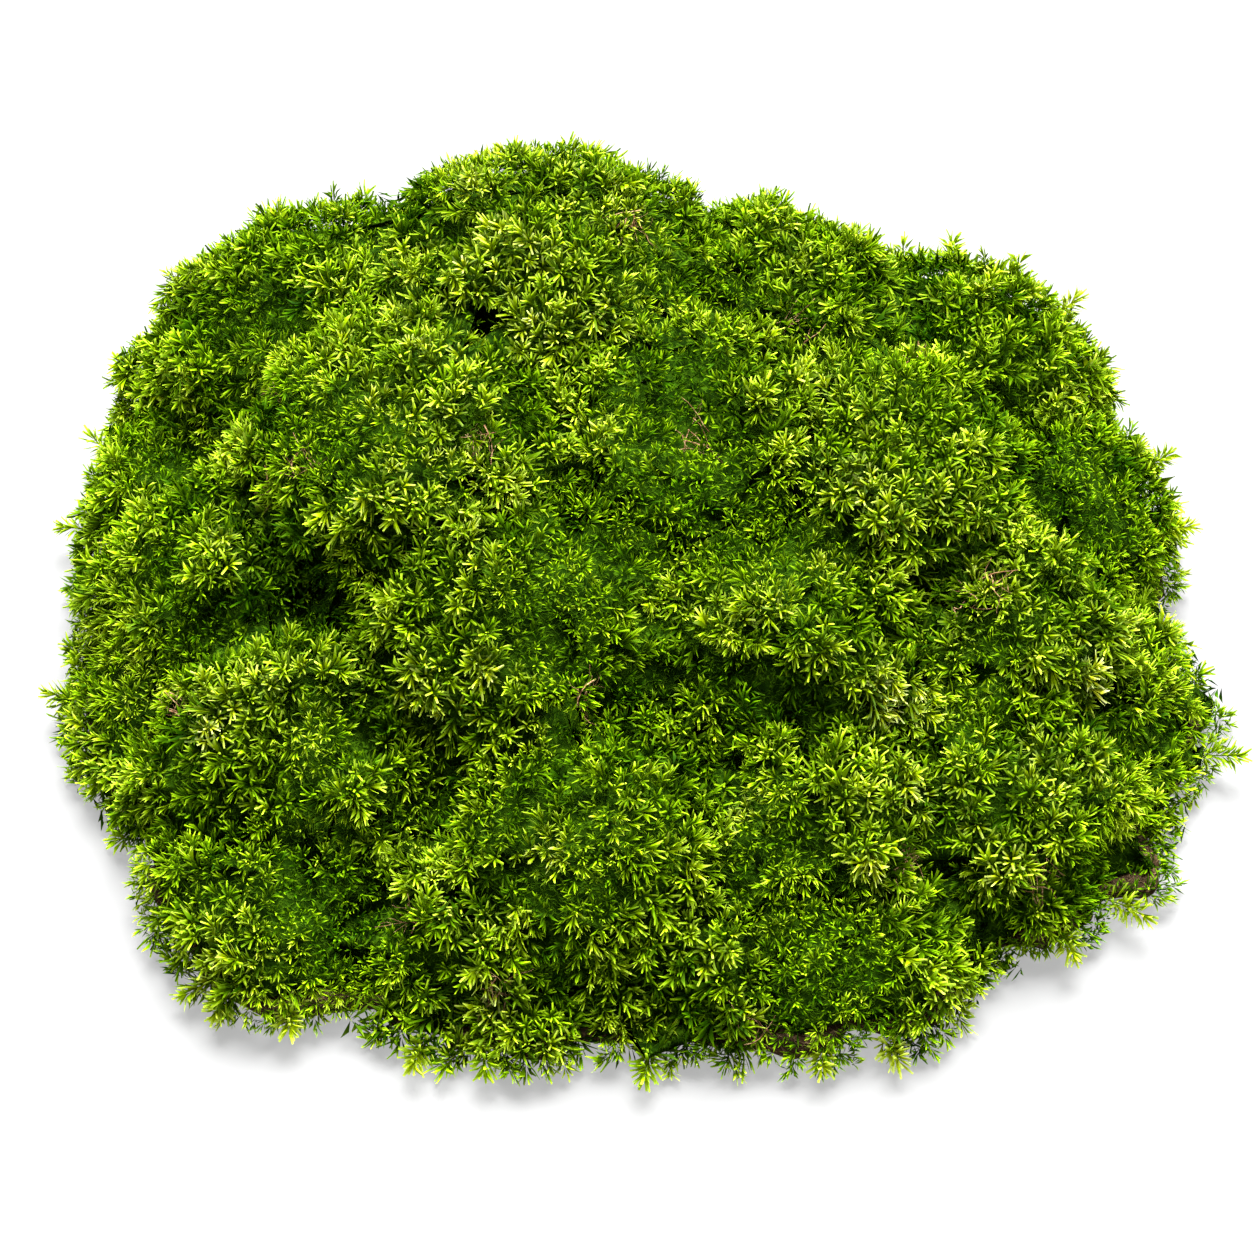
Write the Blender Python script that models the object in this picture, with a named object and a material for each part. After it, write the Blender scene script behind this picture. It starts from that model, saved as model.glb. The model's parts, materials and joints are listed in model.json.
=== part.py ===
"""A hummocky clump of woodland moss, as lifted off the ground: a thin humus mat, the cushions of moss
that grow on it side by side, and the stray shoots that lean out round its rim.

Metres, +Z up. It rests on z = 0, with the middle of its box over the origin and its highest cushion at
the back. Every solid reaches the tips of the moss's leaves.
"""

import math

import bmesh
import bpy
import numpy as np
from mathutils import Vector

MM = 0.001
GAP = 0.3 * MM  # between pieces that touch

MAT_TOP = 7.0 * MM  # thickness of the humus mat
MAT_INSET = 6.0 * MM  # how far its edge hides behind the moss
MAT_CHAMFER = 2.0 * MM
MAT_POINTS = 72

# The moss surface is a soft blend of balls, and a cushion is one ball's share of it.
# Each ball's middle and radius, in mm.
CUSHIONS = {
    "back_left": (-58, 70, 2, 44),
    "back_middle": (-12, 74, 4, 46),
    "back_right": (38, 70, 0, 42),
    "left_corner": (-99, 46, 6, 37),
    "left_shoulder": (-75, 43, 22, 50),
    "crest": (-24, 40, 36, 56),
    "right_crown": (27, 40, 24, 50),
    "right_shoulder": (68, 39, 12, 48),
    "left_flank": (-103, 11, 4, 38),
    "upper_left": (-50, -4, 35, 50),
    "upper_middle": (5, 0, 32, 50),
    "upper_right": (51, -7, 25, 47),
    "right_flank": (90, 5, 6, 41),
    "left_middle": (-88, -24, 10, 43),
    "centre": (-29, -45, 23, 47),
    "centre_right": (27, -47, 17, 45),
    "right_middle": (76, -37, 8, 43),
    "left_rim": (-103, -43, -6, 38),
    "front_left": (-74, -66, 4, 45),
    "front_middle": (-14, -92, 5, 43),
    "front_right": (34, -84, 1, 43),
    "right_front": (77, -77, -3, 42),
    "right_rim": (99, -46, -8, 39),
    "toe_left": (-78, -94, -8, 41),
    "toe_middle": (-38, -109, -8, 38),
    "toe_centre": (4, -111, -8, 37),
    "toe_right": (42, -109, -8, 37),
}
DOME_SUBDIVISIONS = 4
SOFTNESS = 3.5 * MM  # how softly one cushion runs into the next
MOST_SOFTENING = 14.0 * MM
SOFTENING_STEPS = 12
SWELL = 1.6 * MM  # how far the surface rolls in and out
SWELL_LENGTH = 17.0 * MM
CUT_MERGE = 0.002 * MM

# Stray shoots: the cushion each grows from, its direction round it (0 is +X, 90 is +Y) and its rise above
# the level, both in degrees, and its length and width, in mm.
STRAY_SHOOTS = (
    ("left_flank", 152, 28, 8, 6.0),
    ("left_flank", 178, 6, 9, 6.0),
    ("left_rim", 180, 24, 9, 6.5),
    ("toe_left", 247, 20, 9, 6.0),
    ("toe_left", 270, 20, 10, 6.5),
    ("toe_middle", 250, 20, 9, 6.0),
    ("toe_middle", 274, 21, 10, 6.5),
    ("toe_centre", 262, 21, 10, 6.5),
    ("toe_right", 262, 21, 9, 6.0),
    ("toe_right", 288, 21, 9, 6.0),
    ("right_front", 292, 14, 9, 6.0),
    ("right_front", 318, 14, 10, 6.5),
    ("right_rim", 338, 23, 10, 6.5),
    ("right_flank", 352, 22, 8, 6.0),
    ("right_flank", 20, 30, 9, 6.0),
    ("right_shoulder", 28, 34, 10, 6.5),
    ("right_shoulder", 78, 38, 9, 6.0),
)
SHOOT_SIDES = 6
# How far along a shoot each ring of leaf tips stands, and its share of the full width.
SHOOT_PROFILE = ((0.12, 0.35), (0.45, 0.85), (0.75, 1.0), (0.93, 0.62))

MOSS_GREEN = (0.10, 0.24, 0.015, 1.0)
YOUNG_GREEN = (0.22, 0.38, 0.03, 1.0)
HUMUS_BROWN = (0.055, 0.032, 0.018, 1.0)
SHARP_ANGLE = math.radians(40)


def ball_of(name):
    x, y, z, radius = CUSHIONS[name]
    return Vector((x, y, z)) * MM, radius * MM


def finish_of(name, colour, roughness):
    """The Principled material of this name, made once."""
    made = bpy.data.materials.get(name)
    if made:
        return made
    made = bpy.data.materials.new(name)
    made.use_nodes = True
    shader = made.node_tree.nodes["Principled BSDF"]
    shader.inputs["Base Color"].default_value = colour
    shader.inputs["Roughness"].default_value = roughness
    shader.inputs["Metallic"].default_value = 0.0
    return made


def add_object(name, shape, finish):
    """Turns a bmesh into one named object, smooth but for its edges, and frees it."""
    bmesh.ops.recalc_face_normals(shape, faces=shape.faces)
    mesh = bpy.data.meshes.new(name)
    shape.to_mesh(mesh)
    shape.free()
    mesh.materials.append(finish)
    mesh.shade_smooth()
    mesh.set_sharp_from_angle(angle=SHARP_ANGLE)
    made = bpy.data.objects.new(name, mesh)
    bpy.context.scene.collection.objects.link(made)
    return made


def swell(points):
    """A slow roll of the moss surface, the same for every cushion at one point, and at most SWELL."""
    x, y, z = points.T / SWELL_LENGTH
    rolls = np.sin(x + 1.3 * z), np.sin(1.2 * y - 0.7 * x + 2.0), np.sin(1.4 * z + 0.8 * y + 4.0)
    return SWELL * sum(rolls) / len(rolls)


def depth_in_moss(points):
    """How deep points lie in the moss, where every ball blends softly into the next; negative outside it."""
    depths = []
    for name in CUSHIONS:
        middle, radius = ball_of(name)
        apart = np.linalg.norm(points - np.array(middle), axis=1)
        depths.append((radius**2 - apart**2) / (2 * radius))
    return SOFTNESS * np.log(np.exp(np.array(depths) / SOFTNESS).sum(axis=0)) + swell(points)


def surface_around(name, outwards):
    """Points of the moss surface, one along each outward direction from the middle of one ball."""
    middle, radius = ball_of(name)
    middle = np.array(middle)
    reach = np.full(len(outwards), radius)
    for _ in range(SOFTENING_STEPS):
        reach += depth_in_moss(middle + outwards * reach[:, None])
        reach = np.clip(reach, radius - SWELL, radius + MOST_SOFTENING)
    return middle + outwards * reach[:, None]


def keep_behind(shape, point, normal):
    """Cuts a closed shape by a plane, drops what is in front of it and closes the cut with a wall."""
    if max((v.co - point).dot(normal) for v in shape.verts) <= 0:
        return
    cut = bmesh.ops.bisect_plane(
        shape,
        geom=shape.verts[:] + shape.edges[:] + shape.faces[:],
        dist=CUT_MERGE,
        plane_co=point,
        plane_no=normal,
        clear_outer=True,
    )
    rim = [e for e in cut["geom_cut"] if isinstance(e, bmesh.types.BMEdge)]
    wall = bmesh.ops.contextual_create(shape, geom=rim)["faces"]
    bmesh.ops.triangulate(shape, faces=wall)


def meeting_plane(name, other):
    """A point and the normal of the plane in which two balls cross, half a gap on this ball's side."""
    middle, radius = ball_of(name)
    far_middle, far_radius = ball_of(other)
    distance = (far_middle - middle).length
    along = (distance**2 + radius**2 - far_radius**2) / (2 * distance)
    normal = (far_middle - middle) / distance
    return middle + normal * (along - GAP / 2), normal


def build_cushion(name):
    """A domed cushion: the moss surface round one ball, walled where it meets its neighbours and the mat."""
    middle, radius = ball_of(name)
    shape = bmesh.new()
    bmesh.ops.create_icosphere(shape, subdivisions=DOME_SUBDIVISIONS, radius=1.0)
    outwards = np.array([v.co.normalized() for v in shape.verts])
    for v, point in zip(shape.verts, surface_around(name, outwards)):
        v.co = point
    for other in CUSHIONS:
        far_middle, far_radius = ball_of(other)
        if other != name and (far_middle - middle).length < radius + far_radius:
            keep_behind(shape, *meeting_plane(name, other))
    keep_behind(shape, Vector((0, 0, MAT_TOP + GAP)), Vector((0, 0, -1)))
    return add_object(name + "_cushion", shape, finish_of("moss", MOSS_GREEN, 0.75))


def moss_reach(angle):
    """How far the moss reaches from the origin in one direction, just over the mat."""
    ahead = Vector((math.cos(angle), math.sin(angle)))
    reach = 0.0
    for name in CUSHIONS:
        middle, radius = ball_of(name)
        along = middle.xy.dot(ahead)
        aside = radius**2 - (MAT_TOP - middle.z) ** 2 - (middle.xy.length_squared - along**2)
        if aside > 0:
            reach = max(reach, along + math.sqrt(aside))
    return reach


def build_mat():
    """The mat of humus and old stems under the moss: a flat slab, just inside the moss's outline."""
    angles = [math.tau * i / MAT_POINTS for i in range(MAT_POINTS)]
    reaches = [moss_reach(angle) - MAT_INSET for angle in angles]
    evened = [(reaches[i - 1] + reaches[i] + reaches[(i + 1) % MAT_POINTS]) / 3 for i in range(MAT_POINTS)]
    shape = bmesh.new()
    rings = []
    for height, inset in ((0, MAT_CHAMFER), (MAT_CHAMFER, 0), (MAT_TOP, 0)):
        ring = []
        for angle, reach in zip(angles, evened):
            out = reach - inset
            ring.append(shape.verts.new((out * math.cos(angle), out * math.sin(angle), height)))
        rings.append(ring)
    for low, high in zip(rings, rings[1:]):
        for i in range(MAT_POINTS):
            j = (i + 1) % MAT_POINTS
            shape.faces.new((low[i], low[j], high[j], high[i]))
    shape.faces.new(rings[0][::-1])
    shape.faces.new(rings[-1])
    return add_object("humus_mat", shape, finish_of("humus", HUMUS_BROWN, 0.95))


def build_stray_shoot(number, cushion, round_angle, rise, length_mm, width_mm):
    """One stray shoot: a leafy spindle that stands off its cushion, in its own direction."""
    turn, lift = math.radians(round_angle), math.radians(rise)
    ahead = Vector((math.cos(turn) * math.cos(lift), math.sin(turn) * math.cos(lift), math.sin(lift)))
    foot_point = Vector(surface_around(cushion, np.array([ahead]))[0]) + ahead * GAP
    upright = ahead.to_track_quat("Z", "Y").to_matrix()
    shape = bmesh.new()
    rings = []
    for along, share in SHOOT_PROFILE:
        ring = []
        for i in range(SHOOT_SIDES):
            angle = math.tau * i / SHOOT_SIDES
            radius = share * width_mm * MM / 2
            spot = Vector((math.cos(angle) * radius, math.sin(angle) * radius, along * length_mm * MM))
            ring.append(shape.verts.new(foot_point + upright @ spot))
        rings.append(ring)
    foot = shape.verts.new(foot_point)
    tip = shape.verts.new(foot_point + ahead * length_mm * MM)
    for i in range(SHOOT_SIDES):
        j = (i + 1) % SHOOT_SIDES
        shape.faces.new((foot, rings[0][j], rings[0][i]))
        for low, high in zip(rings, rings[1:]):
            shape.faces.new((low[i], low[j], high[j], high[i]))
        shape.faces.new((rings[-1][i], rings[-1][j], tip))
    return add_object(f"stray_shoot_{number:02d}", shape, finish_of("shoot", YOUNG_GREEN, 0.6))


def centre_over_origin(pieces):
    """Moves every piece alike, so that the middle of the clump's box stands over the origin."""
    corners = [v.co for piece in pieces for v in piece.data.vertices]
    middle = [(min(c[k] for c in corners) + max(c[k] for c in corners)) / 2 for k in (0, 1)]
    for piece in pieces:
        for v in piece.data.vertices:
            v.co -= Vector((*middle, 0))


for startup_object in list(bpy.data.objects):
    bpy.data.objects.remove(startup_object)

clump = [build_mat()]
clump += [build_cushion(name) for name in CUSHIONS]
clump += [build_stray_shoot(number, *facts) for number, facts in enumerate(STRAY_SHOOTS, start=1)]
centre_over_origin(clump)
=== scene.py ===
import json
import math
import random

import bmesh
import bpy
import numpy as np
from mathutils import Matrix, Vector, noise
from mathutils.bvhtree import BVHTree

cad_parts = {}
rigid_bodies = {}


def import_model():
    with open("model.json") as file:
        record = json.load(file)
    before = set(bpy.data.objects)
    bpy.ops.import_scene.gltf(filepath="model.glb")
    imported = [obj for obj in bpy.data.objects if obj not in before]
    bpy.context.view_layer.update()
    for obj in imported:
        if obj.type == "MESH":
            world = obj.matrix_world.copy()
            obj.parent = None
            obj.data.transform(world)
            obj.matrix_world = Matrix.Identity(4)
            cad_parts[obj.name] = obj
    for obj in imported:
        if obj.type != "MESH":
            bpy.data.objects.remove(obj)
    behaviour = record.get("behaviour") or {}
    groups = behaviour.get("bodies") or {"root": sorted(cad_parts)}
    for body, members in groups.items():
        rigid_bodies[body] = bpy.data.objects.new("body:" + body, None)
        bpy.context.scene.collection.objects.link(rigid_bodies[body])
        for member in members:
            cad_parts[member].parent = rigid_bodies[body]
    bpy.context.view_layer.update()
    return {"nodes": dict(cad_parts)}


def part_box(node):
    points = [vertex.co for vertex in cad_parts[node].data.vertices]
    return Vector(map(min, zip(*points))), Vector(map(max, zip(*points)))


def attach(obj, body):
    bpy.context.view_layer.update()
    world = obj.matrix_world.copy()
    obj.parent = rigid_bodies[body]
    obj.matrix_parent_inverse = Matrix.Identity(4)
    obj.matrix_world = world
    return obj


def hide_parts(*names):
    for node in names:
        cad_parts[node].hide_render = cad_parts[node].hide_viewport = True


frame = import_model()

# ----------------------------------------
# The moss's surface: the level that the leaf tips reach. It isn't a piece. It is the outside of all the
# cushions together, evened over the clefts, then raised into tufts with gaps between them.
# Everything that grows is placed by it.

MM = 0.001
noise.seed_set(3)  # without this, noise_vector differs from run to run
SKIN_CELL = 2.4 * MM
BRIDGE = 2.4 * MM  # clefts narrower than twice this are filled
LIFT = -0.8 * MM  # from the cushions' own surface, before the tufts rise
EVENING_PASSES = 3
HANG_FROM = 13 * MM  # below this height the surface is drawn down, so that the rim hangs to the floor
HANG_TO = 0.5 * MM
SKIRT = 3.4 * MM  # how far the hanging rim spreads
TUFT = 15 * MM  # width of one tuft
TUFT_RISE = 8 * MM
CLUMP = 6.5 * MM  # the smaller clumps that a tuft breaks up into
CLUMP_RISE = 2.6 * MM
TUFT_EDGE = 0.18  # the square of the way from a tuft's middle, in widths, to where it neither rises nor sinks
TUFT_WARP = 0.45  # how uneven the tufts' outlines are
WARP_WIDTHS = 1.5
SWELL = 1.5 * MM
SWELL_WIDTH = 36 * MM
CREASE_WIDTH = 3.2 * MM  # the valley between two cushions
CREASE_DEPTH = 3.6 * MM
HOLLOW_DEPTH = 3.2 * MM
RIDGE_RISE = 1.8 * MM
CREST_FROM = 66 * MM  # above this height the moss has settled a little
CREST_SETTLE = 3.0 * MM
CREST_STEEPNESS = 5  # the settling is full a fifth of that height further up

# Where the moss differs, as seen from above, in mm. Ridges of coarse bright shoots, each a line of points;
# deep green patches of fine ones; worn hollows, where old brown stems show; and yellowed places.
RIDGE_RADIUS = 8 * MM
RIDGES = (
    ((-35, 43), (-30, 44)),
    ((-48, 16), (-32, 18), (-16, 21)),
    ((-110, -23), (-89, -17), (-67, -19), (-36, -30)),
    ((-94, -49), (-73, -46), (-53, -53), (-31, -65)),
    ((44, -2), (50, -11), (55, -19)),
    ((71, -13), (95, -13), (108, -35)),
    ((-20, -83), (-7, -83)),
    ((15, -39), (43, -49), (66, -58)),
    ((69, -77), (80, -87)),
)
DEEP_RADIUS = 15 * MM
DEEP_PATCHES = (
    (-93, -33), (-77, 2), (13, -14), (-12, -56), (-63, -103), (-90, -85), (98, -88), (102, 17), (115, 3),
    (40, -111),
)
HOLLOW_RADIUS = 4.5 * MM
HOLLOWS = (
    (-77, -5), (-89, -4), (-33, -9), (-90, 27), (-102, -47), (-4, -61), (17, -2), (69, -29), (84, -25),
    (64, 41), (40, 36), (-53, -100), (-30, -118), (26, -120), (91, -91), (64, -89), (2, 55),
)
YELLOWED_RADIUS = 6 * MM
YELLOWED = (
    (-32, -3), (-111, -41), (49, -11), (44, -25), (82, -24), (76, -37), (105, -45), (103, -66), (89, -65),
    (6, -53), (23, -79), (-20, -97), (-46, -60), (-93, -63), (-54, 10), (60, -59), (55, -99), (-26, 28),
)
DROP_FROM = 300  # above everything

# Lobes of the hanging rim, and places where it is set in: a place, and how far the rim moves out, in mm.
LOBE_RADIUS = 13 * MM
LOBES = (
    (-19, -132, 18), (29, -126, 13), (8, -132, -5), (-42, -127, -6), (-80, -112, 4), (62, -117, 4),
    (-134, 0, 9), (-118, -66, 3), (-116, 76, 4), (136, -8, -4), (138, -34, -5), (116, -82, -5),
)

cushions = sorted(name for name in frame["nodes"] if name.endswith("_cushion"))


def joined_up(node):
    """A bmesh of a node's own shape, with its loose triangles merged."""
    shape = bmesh.new()
    shape.from_mesh(frame["nodes"][node].data)
    bmesh.ops.remove_doubles(shape, verts=shape.verts, dist=1e-6)
    shape.normal_update()
    return shape


def put_in_scene(name, data):
    """A new object in the scene, at its origin, for a mesh, a light or a camera."""
    made = bpy.data.objects.new(name, data)
    bpy.context.scene.collection.objects.link(made)
    return made


def made_plain(holder):
    """The mesh that an object's modifiers make. The object is used up."""
    graph = bpy.context.evaluated_depsgraph_get()
    made = bpy.data.meshes.new_from_object(holder.evaluated_get(graph), depsgraph=graph)
    bpy.data.objects.remove(holder)
    return made


def with_modifiers_applied(mesh, *settings):
    """The mesh after a run of modifiers, each given as a type and its values."""
    holder = put_in_scene("holder", mesh)
    for kind, values in settings:
        modifier = holder.modifiers.new(kind, kind)
        for name, value in values.items():
            setattr(modifier, name, value)
    return made_plain(holder)


def as_mesh(shape, name):
    """The mesh of a bmesh, which is used up."""
    made = bpy.data.meshes.new(name)
    shape.to_mesh(made)
    shape.free()
    return made


def remeshed(shape, passes):
    """The shape made anew from even faces, smoothed by a number of passes. The old one is used up."""
    remesh = ("REMESH", {"mode": "VOXEL", "voxel_size": SKIN_CELL})
    evening = ("SMOOTH", {"factor": 0.5, "iterations": passes})
    made = bmesh.new()
    made.from_mesh(with_modifiers_applied(as_mesh(shape, "before"), remesh, evening))
    made.normal_update()
    return made


def outside_of_the_cushions():
    """One surface round all the cushions, without the narrow clefts between them."""
    gathered = bmesh.new()
    for name in cushions:
        shape = joined_up(name)
        for v in shape.verts:
            v.co += v.normal * BRIDGE
        gathered.from_mesh(as_mesh(shape, name))
    whole = remeshed(gathered, EVENING_PASSES)
    for v in whole.verts:
        v.co -= v.normal * (BRIDGE - LIFT)
    return whole


def smoothstep(x):
    """An even way from 0 to 1 while x goes from 0 to 1, flat at both ends."""
    x = min(max(x, 0.0), 1.0)
    return x * x * (3 - 2 * x)


NEIGHBOUR_REACH = 4 * CREASE_WIDTH  # a cushion farther off makes no crease
NO_NEIGHBOUR = 1.0


def nearest_cushions(place):
    """The nearest cushion's name, and how much farther the second nearest lies."""
    found = []
    for name, (low, high, tree) in cushion_trees.items():
        aside = Vector(max(a - p, p - b, 0.0) for a, p, b in zip(low, place, high)).length
        if aside < NEIGHBOUR_REACH:
            found.append((tree.find_nearest(place)[3], name))
    found.sort()
    return found[0][1], (found[1][0] - found[0][0] if len(found) > 1 else NO_NEIGHBOUR)


def points_along(line, step=4):
    """Points on a line of corners, about step mm apart."""
    for (x0, y0), (x1, y1) in zip(line, line[1:]):
        parts = max(round(math.hypot(x1 - x0, y1 - y0) / step), 1)
        for i in range(parts + 1):
            yield x0 + (x1 - x0) * i / parts, y0 + (y1 - y0) * i / parts


def dropped_on(tree, points):
    """Where points given from above, in mm, lie on a surface."""
    found = (tree.ray_cast(Vector((x, y, DROP_FROM)) * MM, Vector((0, 0, -1)))[0] for x, y in points)
    return np.array([place[:] for place in found if place])


def nearness(places, marks, radius):
    """For each place, from 0 to 1, how near it lies to the nearest of the marks."""
    gaps = np.linalg.norm(places[:, None] - marks[None], axis=2).min(axis=1)
    return np.exp(-((gaps / radius) ** 2))


def from_middle(place, width, salt):
    """The way from the middle of the nearest tuft to a place, in tuft widths."""
    warp = noise.noise_vector(place / (width * WARP_WIDTHS) + Vector((salt, 0, 0)))
    warped = place / width + warp * TUFT_WARP
    return warped - noise.voronoi(warped)[1][0]


def in_tuft(place):
    return from_middle(place, TUFT, 0)


def in_clump(place):
    return from_middle(place, CLUMP, 5)


def relief(place):
    """How far the leaf tips stand out at a place: domed tufts with smaller clumps, on a slow swell."""
    tuft = TUFT_RISE * (TUFT_EDGE - in_tuft(place).length_squared)
    clump = CLUMP_RISE * (TUFT_EDGE - in_clump(place).length_squared)
    return tuft + clump + noise.noise(place / SWELL_WIDTH) * SWELL


def lobe_at(place):
    """How far a lobe of the rim carries a place outwards."""
    return sum(
        out * MM * math.exp(-(((place.x - x * MM) ** 2 + (place.y - y * MM) ** 2) / LOBE_RADIUS**2))
        for x, y, out in LOBES
    )


def lowness(place):
    """From 0 where the rim starts to hang to 1 at its foot."""
    return smoothstep((HANG_FROM - place.z) / (HANG_FROM - skin_bottom))


cushion_trees = {}
for name in cushions:
    shape = joined_up(name)
    cushion_trees[name] = (*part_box(name), BVHTree.FromBMesh(shape))
    shape.free()

skin = outside_of_the_cushions()
skin.normal_update()
skin_tree = BVHTree.FromBMesh(skin)
ridge_marks = dropped_on(skin_tree, [point for line in RIDGES for point in points_along(line)])
deep_marks = dropped_on(skin_tree, DEEP_PATCHES)
hollow_marks = dropped_on(skin_tree, HOLLOWS)
yellowed_marks = dropped_on(skin_tree, YELLOWED)

places = np.array([v.co[:] for v in skin.verts])
raised = nearness(places, ridge_marks, RIDGE_RADIUS) * RIDGE_RISE
raised -= nearness(places, hollow_marks, HOLLOW_RADIUS) * HOLLOW_DEPTH
skin_bottom = places[:, 2].min()
moves = []
for v, rise in zip(skin.verts, raised):
    second = nearest_cushions(v.co)[1]
    rise += relief(v.co) - CREASE_DEPTH * math.exp(-((second / CREASE_WIDTH) ** 2))
    low = lowness(v.co)
    spread = Vector((v.normal.x, v.normal.y, 0)) * (low * SKIRT + lobe_at(v.co))
    high = smoothstep((v.co.z - CREST_FROM) / CREST_FROM * CREST_STEEPNESS)
    settled = low * (skin_bottom - HANG_TO) + CREST_SETTLE * high
    moves.append(v.normal * rise + spread - Vector((0, 0, settled)))
for v, move in zip(skin.verts, moves):
    v.co += move
    v.co.z = max(v.co.z, HANG_TO)
skin = remeshed(skin, 1)
skin_tree = BVHTree.FromBMesh(skin)

# ----------------------------------------
# The humus mat: the thin layer of dead stems, rhizoids and humus that the colony grew on. It is flat
# underneath, where it was parted from the ground, and its edge hides behind the hanging moss.

MAT_CELL = 5.0 * MM
MAT_CRUMBLE = 1.1 * MM
MAT_CRUMBLE_UPWARDS = 0.6  # of what it is sideways
CRUMB_WIDTH = 7 * MM
CRUMB_NOISE = (0.8, 2.2, 4)  # how smooth, the step from one size to the next, and how many sizes
MAT_FOOT = 1.0 * MM  # below this height the mat's underside is flat, but for a few dents
DENT = 0.8
MAT_HALF_HEIGHT = 3.5 * MM
MAT_BEHIND_RIM = 5 * MM
RIM_MEASURED = 5 * MM  # the height at which the rim is met
BEYOND_RIM = 0.3
SPREAD_SLOPE = 2.5  # with SPREAD_START, only the outer two fifths of the mat are carried out
SPREAD_START = 1.5

mat_mesh = as_mesh(joined_up("humus_mat"), "humus_mat_surface")
mat_mesh = with_modifiers_applied(mat_mesh, ("REMESH", {"mode": "VOXEL", "voxel_size": MAT_CELL}))
mat_shape = bmesh.new()
mat_shape.from_mesh(mat_mesh)
mat_shape.normal_update()
mat_tree = BVHTree.FromBMesh(mat_shape)


def rim_at(outward):
    """How far out the hanging moss reaches on one side."""
    met = skin_tree.ray_cast(outward * BEYOND_RIM + Vector((0, 0, RIM_MEASURED)), -outward)[3]
    return None if met is None else BEYOND_RIM - met


def spread_under_rim(place):
    """Carries the mat's edge out to where it lies just behind the hanging moss."""
    middle = Vector((0, 0, MAT_HALF_HEIGHT))
    outward = Vector((place.x, place.y, 0)).normalized()
    edge = mat_tree.ray_cast(middle, outward)[3]
    rim = rim_at(outward)
    if edge is None or rim is None:
        return place
    share = smoothstep(Vector((place.x, place.y)).length / edge * SPREAD_SLOPE - SPREAD_START)
    return place + outward * (rim - MAT_BEHIND_RIM - edge) * share


for v in mat_shape.verts:
    v.co = spread_under_rim(v.co)
mat_shape.normal_update()
for v in mat_shape.verts:
    crumble = noise.fractal(v.co / CRUMB_WIDTH, *CRUMB_NOISE) * MAT_CRUMBLE
    v.co += Vector((v.normal.x, v.normal.y, MAT_CRUMBLE_UPWARDS * v.normal.z)) * crumble
    if v.co.z < MAT_FOOT:
        v.co.z = max(0.0, -crumble * DENT)
mat_shape.to_mesh(mat_mesh)
mat_shape.free()
mat_mesh.shade_smooth()
mat = put_in_scene("humus_mat_surface", mat_mesh)


class Wiring:
    """Adds nodes to one tree and joins them up: a socket, a number or a colour can feed any input."""

    def __init__(self, tree):
        self.tree = tree

    def add(self, kind, inputs=(), **settings):
        """A new node, with its settings and with what feeds its inputs."""
        node = self.tree.nodes.new(kind)
        for name, value in settings.items():
            setattr(node, name, value)
        for name, value in dict(inputs).items():
            if isinstance(value, bpy.types.NodeSocket):
                self.tree.links.new(value, node.inputs[name])
            else:
                node.inputs[name].default_value = value
        return node

    def maths(self, operation, *values):
        return self.add("ShaderNodeMath", dict(enumerate(values)), operation=operation).outputs["Value"]

    def vectors(self, operation, *values, **scale):
        inputs = dict(enumerate(values)) | scale
        return self.add("ShaderNodeVectorMath", inputs, operation=operation).outputs["Vector"]


def new_socket(tree, name, way, kind):
    return tree.interface.new_socket(name, in_out=way, socket_type="NodeSocket" + kind)


def new_material(name):
    """An empty material, and its wiring."""
    made = bpy.data.materials.new(name)
    made.use_nodes = True
    made.node_tree.nodes.clear()
    return made, Wiring(made.node_tree)


def ramp(wiring, factor, *stops):
    """A colour ramp through stops of position and colour."""
    made = wiring.add("ShaderNodeValToRGB", {"Fac": factor})
    elements = made.color_ramp.elements
    while len(elements) < len(stops):
        elements.new(0.5)
    for element, (position, colour) in zip(elements, stops):
        element.position = position
        element.color = (*colour, 1.0)
    return made.outputs["Color"]


CRUMB_DETAIL = {"Detail": 5.0, "Roughness": 0.65}
BENDS = 220.0  # a metre
BEND_REACH = 0.012
THREADS = 420.0  # a metre
THREAD_EDGE = 0.12
THREAD_LIGHT = 0.35  # how much lighter a thread is than the crumbs


def make_litter_group():
    """Matted plant litter: crumbs and threads at two sizes, as a dark-to-light value and a height."""
    group = bpy.data.node_groups.new("plant_litter", "ShaderNodeTree")
    new_socket(group, "Crumb Scale", "INPUT", "Float")
    new_socket(group, "Lightness", "OUTPUT", "Float")
    new_socket(group, "Relief", "OUTPUT", "Float")
    w = Wiring(group)
    inside = w.add("NodeGroupInput")
    place = w.add("ShaderNodeTexCoord").outputs["Object"]
    crumb = {"Vector": place, "Scale": inside.outputs["Crumb Scale"], **CRUMB_DETAIL}
    crumbs = w.add("ShaderNodeTexNoise", crumb).outputs["Fac"]
    bent = w.add("ShaderNodeTexNoise", {"Vector": place, "Scale": BENDS, "Detail": 2.0}).outputs["Color"]
    along = w.vectors("ADD", place, w.vectors("SCALE", bent, Scale=BEND_REACH))
    thread = {"Vector": along, "Scale": THREADS}
    edges = w.add("ShaderNodeTexVoronoi", thread, feature="DISTANCE_TO_EDGE").outputs["Distance"]
    faded = {"Value": edges, "From Max": THREAD_EDGE, "To Min": 1.0, "To Max": 0.0}
    threads = w.add("ShaderNodeMapRange", faded).outputs["Result"]
    light = w.maths("MULTIPLY_ADD", threads, THREAD_LIGHT, crumbs)
    w.add("NodeGroupOutput", {"Lightness": light, "Relief": light})
    return group


litter_group = make_litter_group()
DULL = 0.01  # the specular level of dry, rough plant matter


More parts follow.
